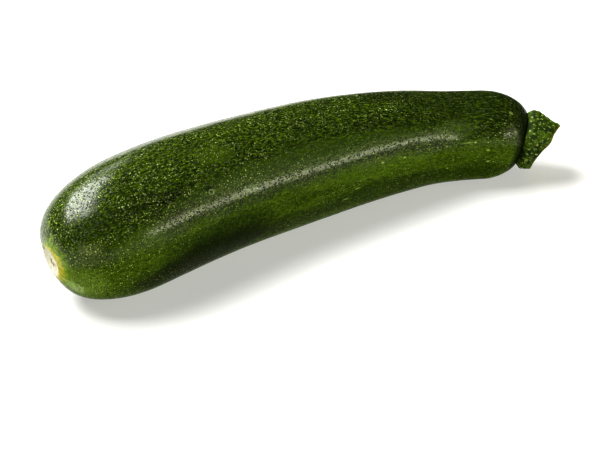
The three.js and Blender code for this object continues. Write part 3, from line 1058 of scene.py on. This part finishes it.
@dataclass
class Stalk:
    """The cut stub of the stalk: a flared foot, a ridged warty side and an oblique dried cut."""

    fruit: Fruit
    finish: StalkSkin = field(default_factory=StalkSkin)
    gap: float = 0.3
    offset: float = 0.7
    foot_radius: float = 11.6
    top_radius: float = 9.3
    foot_height: float = 2.5
    foot_tuck: float = 1.5
    taper: float = 6
    length: float = 10.5
    cut_slope: float = 0.36
    cut_turn: float = 0.2
    cut_notch: float = 0.6
    ridge: float = 0.07
    wart: float = 0.3
    warts_around: int = 10
    wart_pitch: float = 4.2
    tip_narrow: float = 1.2
    tip_power: float = 3
    uneven: float = 0.07
    uneven_waves: tuple[int, int] = (6, 15)  # waves round the stalk, from and up to
    seed: int = 3
    browned: float = 0.1  # share of the wall, under the cut
    prickly: tuple[float, float] = (0.08, 0.94)  # shares of the wall between which prickles stand
    cut_rim: float = 0.8
    cut_dish: float = 0.6
    pith_share: float = 0.3
    pith_edge: float = 0.12
    pith_depth: float = 1.3
    rings: tuple[int, int, int] = (8, 56, 30)
    rim_rounds: int = 4  # rounds in which the rim's height and radius settle
    sectors: int = 180

    def rib_wave(self, angle: np.ndarray) -> np.ndarray:
        """Returns the ridges' height round the stalk, which carry on from the fruit's ribs."""
        wave = self.fruit.ribs * (angle - math.radians(self.fruit.rib_phase))
        return np.cos(wave) + self.fruit.rib_sharpness * np.cos(2 * wave)

    def side_radius(self, height: np.ndarray, angle: np.ndarray) -> np.ndarray:
        """Finds the radius of the stalk's side.

        Args:
            height: how far over the fruit's end, in millimetres.
            angle: the angle round the stalk.

        Returns:
            The radius, in millimetres.
        """
        narrowing = np.exp(-((np.maximum(0, height - self.foot_height) / self.taper) ** 2))
        tuck = self.foot_tuck * (1 - np.minimum(1, height / self.foot_height)) ** 2
        plain = self.top_radius + (self.foot_radius - self.top_radius) * narrowing - tuck
        around = np.cos(self.warts_around * angle)
        along = np.cos(2 * math.pi * height / self.wart_pitch)
        rise = np.clip(height / self.foot_height, 0, 1)
        wart = self.wart * np.maximum(0, around * along) * rise
        tip = self.length + self.cut_slope * self.top_radius
        lean = self.tip_narrow * (height / tip) ** self.tip_power * np.maximum(0, np.sin(angle))
        dice = np.random.default_rng(self.seed)
        waves = range(*self.uneven_waves)
        bumps = sum(np.cos(turns * angle + dice.uniform(0, 2 * math.pi)) for turns in waves)
        return plain * (1 + self.ridge * self.rib_wave(angle)) + wart - lean + self.uneven * bumps * rise

    def cut_height(self, radius: np.ndarray, angle: np.ndarray) -> np.ndarray:
        """Returns how far over the fruit's end the slanting cut stands, in millimetres."""
        slant = self.cut_slope * np.sin(angle) + self.cut_turn * np.cos(angle)
        notch = self.cut_notch * (radius / self.top_radius) ** 2 * (1 - self.rib_wave(angle)) / 2
        return self.length + slant * radius - notch

    def dome_height(self, radius: np.ndarray, angle: np.ndarray) -> np.ndarray:
        """Returns how far the fruit's domed end stands out under the stalk, in millimetres."""
        distance = np.hypot(radius * np.cos(angle), radius * np.sin(angle) + self.offset)
        end_radius = self.fruit.axis.radius(1) * self.fruit.shoulder_end
        return self.fruit.end_dome * (1 - (distance / end_radius) ** 2)

    def surface_rings(self, angles: np.ndarray) -> list[StalkRing]:
        """Lists the stalk's rings from the middle of its foot to the middle of its cut.

        Args:
            angles: the angles round the stalk.

        Returns:
            The rings, of which the first and the last are points.
        """
        foot, wall, cut = self.rings
        zero = np.zeros(self.sectors)
        rows = [StalkRing(zero, self.dome_height(zero, angles))]
        for ring in range(1, foot + 1):
            radius = self.side_radius(zero, angles) * ring / foot
            rows.append(StalkRing(radius, self.dome_height(radius, angles)))
        rim_height = zero + self.length
        for _ in range(self.rim_rounds):
            rim_radius = self.side_radius(rim_height, angles)
            rim_height = self.cut_height(rim_radius, angles)
        lowest, highest = self.prickly
        for ring in range(1, wall + 1):
            share = ring / wall
            height = rim_height * share
            edge = max(0.0, share - (1 - self.browned)) / self.browned
            prickly = float(lowest < share < highest)
            rows.append(StalkRing(self.side_radius(height, angles), height, edge, wall=prickly))
        for ring in range(1, cut):
            share = 1 - ring / cut
            depth = self.cut_dish * min(1.0, (1 - share) / (1 - self.cut_rim))
            pith = min(1.0, max(0.0, (self.pith_share - share) / self.pith_edge))
            depth += (self.pith_depth - self.cut_dish) * pith
            radius = rim_radius * share
            rows.append(StalkRing(radius, self.cut_height(radius, angles) - depth, 1.0, 1.0, 1 - share))
        rows.append(StalkRing(zero, zero + self.length - self.pith_depth, 1.0, 1.0, 1.0))
        return rows

    def faces(self, count: int) -> list[tuple[int, ...]]:
        """Lists the faces over the rings.

        Args:
            count: how many rings there are between the two end points.

        Returns:
            The point numbers round each face.
        """
        last = 1 + count * self.sectors
        faces = []
        for sector in range(self.sectors):
            after = (sector + 1) % self.sectors
            faces.append((0, 1 + after, 1 + sector))
            faces.append((last, last - self.sectors + sector, last - self.sectors + after))
            for low in range(1, last - self.sectors, self.sectors):
                high = low + self.sectors
                faces.append((low + sector, low + after, high + after, high + sector))
        return faces

    def build(self) -> Thing:
        """Builds the stalk.

        Returns:
            The finished piece.
        """
        along, upward = (np.array(v) for v in self.fruit.axis.directions(1))
        side = np.cross(upward, along)
        angles = np.arange(self.sectors) / self.sectors * 2 * math.pi
        rows = self.surface_rings(angles)
        counts = [1, *[self.sectors] * (len(rows) - 2), 1]
        # Along the stalk, to the side and upwards, from the middle of its foot.
        turned = np.array([np.cos(angles), np.sin(angles)])
        local = np.vstack([
            np.array([row.height + self.gap, *(row.radius * turned)]).T[:count]
            for row, count in zip(rows, counts)
        ])
        origin = np.array(self.fruit.axis.point(1)) + upward * self.offset
        places = origin + local @ np.array([along, side, upward])
        stalk = mesh_object("stalk_stub", places * MM, self.faces(len(rows) - 2))
        wave = self.rib_wave(angles)
        store(stalk, "ridge", np.concatenate([[0], *[wave] * (len(rows) - 2), [0]]))
        for name in ("edge", "cut", "core", "wall"):
            store(stalk, name, np.repeat([getattr(row, name) for row in rows], counts))
        store(stalk, "stalk", local * MM)
        stalk.data.shade_smooth()
        stalk.data.materials.append(self.finish.material())
        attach(stalk, BODY)
        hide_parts(Node.STEM.value)
        return stalk


@dataclass
class Prickles:
    """The pale domes that the stalk's prickles stood on, scattered over its side."""

    spacing: float = 2.1
    radius: float = 0.5
    smallest: float = 0.25
    flatness: float = 0.3
    stretch: float = 1.8
    tries: float = 4e6  # places tried on a square metre, which the spacing then thins out
    seed: int = 5
    finish: PrickleSkin = field(default_factory=PrickleSkin)

    def scatter_tree(self) -> Tree:
        """Builds the Geometry Nodes tree that sets a dome at each prickle's place.

        Returns:
            The tree, with a named input for each size.
        """
        tree, given = geometry_tree(
            "domes scattered over a stalk",
            {
                "Geometry": ("Stalk",),
                "Int": ("Seed",),
                "Float": ("Spacing", "Radius", "Smallest", "Flatness", "Stretch"),
                "Vector": ("Along",),
                "Material": ("Skin",),
            },
        )
        wall = add(tree, NAMED_ATTRIBUTE, {"data_type": "FLOAT"}, ("wall",))
        wall = add(tree, "FunctionNodeCompare", "GREATER_THAN", (wall, 0.5))
        places = add(
            tree,
            "GeometryNodeDistributePointsOnFaces",
            {"distribute_method": "POISSON"},
            {
                "Mesh": given["Stalk"],
                "Selection": wall,
                "Distance Min": given["Spacing"],
                "Density Max": self.tries,
                "Seed": given["Seed"],
            },
        ).node.outputs
        dome = add(tree, "GeometryNodeMeshIcoSphere", {}, {"Radius": given["Radius"], "Subdivisions": 2})
        sizes = {"Min": given["Smallest"], "Max": 1.0, "Seed": given["Seed"]}
        size = add(tree, "FunctionNodeRandomValue", {"data_type": "FLOAT"}, sizes)
        height = add(tree, MATH, "MULTIPLY", (size, given["Flatness"]))
        long = add(tree, MATH, "MULTIPLY", (size, given["Stretch"]))
        shape = add(tree, "ShaderNodeCombineXYZ", {}, (long, size, height))
        lie = add(
            tree,
            "FunctionNodeAlignRotationToVector",
            {"axis": "X", "pivot_axis": "Z"},
            {"Rotation": places["Rotation"], "Vector": given["Along"]},
        )
        domes = add(
            tree,
            "GeometryNodeInstanceOnPoints",
            {},
            {"Points": places["Points"], "Instance": dome, "Rotation": lie, "Scale": shape},
        )
        domes = add(tree, "GeometryNodeRealizeInstances", {}, (domes,))
        domes = add(tree, "GeometryNodeSetShadeSmooth", {}, (domes,))
        domes = add(tree, "GeometryNodeSetMaterial", {}, {"Geometry": domes, "Material": given["Skin"]})
        add(tree, "NodeGroupOutput", {}, {"Geometry": domes})
        return tree

    def build(self, stalk: Thing, along: tuple[float, float, float]) -> Thing:
        """Sets the domes on the stalk.

        Args:
            stalk: the finished stalk.
            along: the direction in which it points.

        Returns:
            The finished piece.
        """
        domes = bpy.data.objects.new("stalk_prickles", stalk.data.copy())
        bpy.context.scene.collection.objects.link(domes)
        sizes = {
            "Seed": self.seed,
            "Spacing": self.spacing * MM,
            "Radius": self.radius * MM,
            "Smallest": self.smallest,
            "Flatness": self.flatness,
            "Stretch": self.stretch,
            "Along": along,
            "Skin": self.finish.material(),
        }
        baked(domes, self.scatter_tree(), sizes)
        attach(domes, BODY)
        return domes


# The studio


def bearing(azimuth: float, elevation: float) -> Vector:
    """Returns the direction from the courgette to a place round it, from degrees as in Softbox."""
    a, e = math.radians(azimuth), math.radians(elevation)
    return Vector((math.sin(a) * math.cos(e), -math.cos(a) * math.cos(e), math.sin(e)))


def set_facing(name: str, data: bpy.types.ID, target: Vector, back: Vector, distance: float) -> Thing:
    """Sets a lamp or a camera so that it looks at a point.

    Args:
        name: the object's name.
        data: the lamp or the camera.
        target: the point that it looks at.
        back: the direction from that point to it.
        distance: how far from that point it stands.

    Returns:
        The object, linked into the scene.
    """
    thing = bpy.data.objects.new(name, data)
    bpy.context.scene.collection.objects.link(thing)
    thing.location = target + back * distance
    thing.rotation_euler = back.to_track_quat("Z", "Y").to_euler()
    return thing


@dataclass(frozen=True)
class Softbox:
    """A soft light: a glowing panel that looks at the courgette.

    Azimuth 0 stands at -Y and turns towards +X. Angles are in degrees and sizes in metres.
    """

    name: str
    azimuth: float
    elevation: float
    distance: float
    width: float
    height: float
    power: float
    colour: tuple[float, float, float] = (1.0, 1.0, 1.0)

    def build(self, target: Vector) -> Thing:
        """Makes the light, looking at a point."""
        lamp = bpy.data.lights.new(self.name, "AREA")
        lamp.shape = "RECTANGLE"
        lamp.size, lamp.size_y = self.width, self.height
        lamp.energy = self.power
        lamp.color = self.colour
        return set_facing(self.name, lamp, target, bearing(self.azimuth, self.elevation), self.distance)


@dataclass
class Studio:
    """An opal white sheet, soft lights and the camera."""

    aim_mm: tuple[float, float, float] = (-4.6, -4.0367, 2.9)
    camera_azimuth: float = -36.9
    camera_elevation: float = 28.125
    camera_distance: float = 0.7
    focal_pixels: float = 1818
    picture_width: int = 600
    sensor_mm: float = 36
    nearest: float = 0.01
    sheet_size: float = 30
    surroundings: float = 0.05
    softboxes: tuple[Softbox, ...] = (
        Softbox("overhead_box", -138, 58, 1.0, 0.78, 0.64, 22.0),
        Softbox("back_fill", 178, 40, 1.2, 0.7, 0.5, 3.0),
        Softbox("side_strip", 30, 12, 1.0, 0.6, 0.26, 3.6, (1.0, 1.0, 0.8)),
        Softbox("side_fill", 38, 22, 1.0, 0.6, 0.45, 1.2, (1.0, 1.0, 0.7)),
        Softbox("front_fill", -50, 10, 1.2, 0.8, 0.4, 2.9, (1.0, 1.0, 0.6)),
    )
    finish: SheetSkin = field(default_factory=SheetSkin)

    def lay_sheet(self) -> None:
        """Lays the opal white sheet under the courgette."""
        half = self.sheet_size / 2
        corners = np.array([(-half, -half, 0), (half, -half, 0), (half, half, 0), (-half, half, 0)])
        paper = mesh_object("background_paper", corners, [(0, 1, 2, 3)])
        paper.data.materials.append(self.finish.material())

    def fill_air(self) -> None:
        """Makes the faint light that comes from all round."""
        world = bpy.data.worlds.new("studio_air")
        world.use_nodes = True
        world.node_tree.nodes.clear()
        air = add(world.node_tree, "ShaderNodeBackground", {}, (WHITE, self.surroundings))
        add(world.node_tree, "ShaderNodeOutputWorld", {}, (air,))
        bpy.context.scene.world = world

    def set_camera(self, target: Vector) -> None:
        """Sets the camera, looking at a point, and the picture's contrast."""
        lens = bpy.data.cameras.new("studio_camera")
        lens.sensor_width = self.sensor_mm
        lens.lens = self.focal_pixels * self.sensor_mm / self.picture_width
        lens.clip_start = self.nearest
        back = bearing(self.camera_azimuth, self.camera_elevation)
        scene = bpy.context.scene
        scene.camera = set_facing("studio_camera", lens, target, back, self.camera_distance)
        scene.view_settings.view_transform = "Standard"
        scene.view_settings.look = "High Contrast"

    def build(self) -> None:
        """Makes the sheet, the lights, the surroundings and the camera."""
        target = Vector(self.aim_mm) * MM
        self.lay_sheet()
        for softbox in self.softboxes:
            softbox.build(target)
        self.fill_air()
        self.set_camera(target)


def main() -> None:
    """Builds the courgette and its studio."""
    logging.basicConfig(level=logging.INFO, format="%(name)s: %(message)s")
    fruit = Fruit()
    skin = fruit.build()
    stalk = Stalk(fruit).build()
    along = tuple(fruit.axis.directions(1)[0])
    for piece in (skin, stalk, Prickles().build(stalk, along)):
        LOG.info("%s: %d points", piece.name, len(piece.data.vertices))
    Studio().build()


if __name__ == "__main__":
    main()
